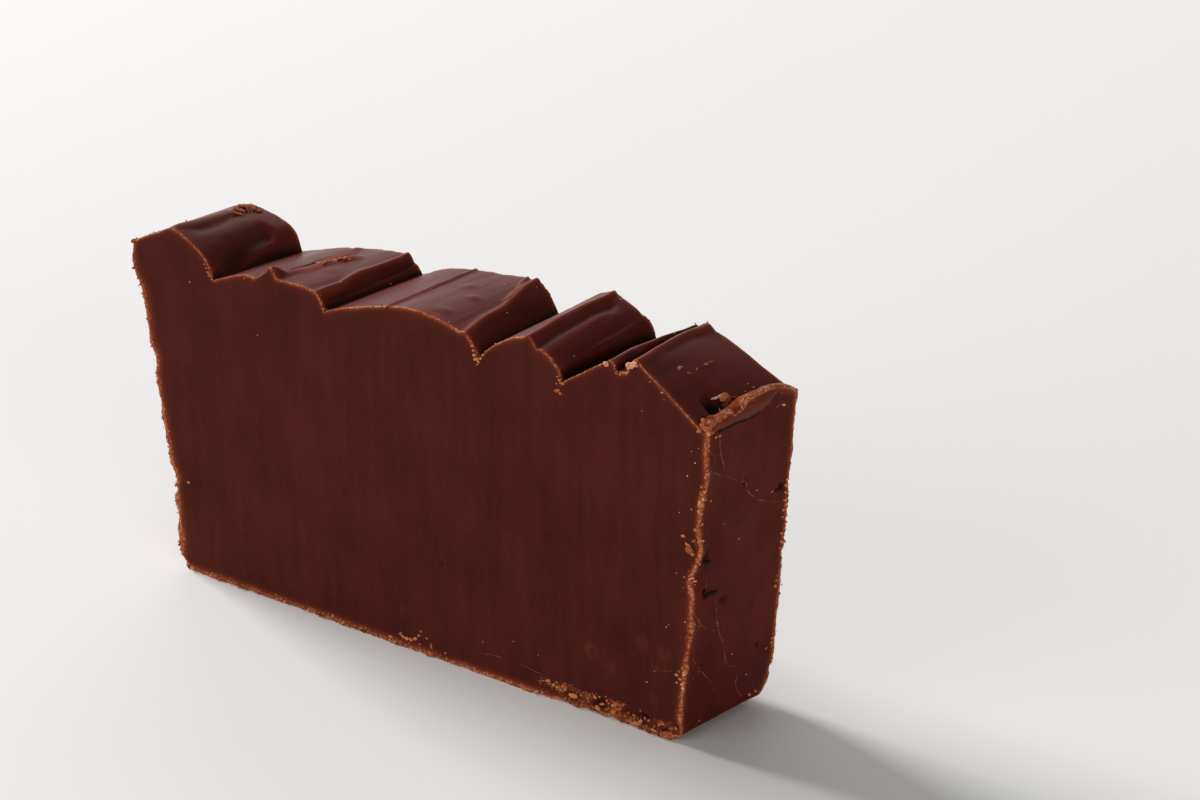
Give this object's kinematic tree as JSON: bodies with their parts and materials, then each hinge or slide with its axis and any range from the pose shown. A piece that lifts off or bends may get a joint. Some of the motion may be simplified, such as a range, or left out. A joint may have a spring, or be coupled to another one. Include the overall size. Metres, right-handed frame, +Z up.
{
  "type": "fudge slice",
  "caption": "Upright slice of dark chocolate fudge cut from a loaf: flat cut faces, crumbly knife edges and a top swirled into rolling laps.",
  "frame": {"origin": "middle of the underside of the slice's bounding box, on the surface it stands on", "axes": "+X along the slice from its wider-leaning left end to the end with the torn lip, +Y through its thickness away from the front cut face, +Z up"},
  "size_m": [0.1324, 0.0238, 0.0675],
  "materials": {
    "dark_fudge": "satin dark chocolate fudge, smooth cut faces, glossier swirled top skin, paler crumbly edges"
  },
  "bodies": {
    "root": {"fudge_slice": "dark_fudge"}
  },
  "joints": []
}
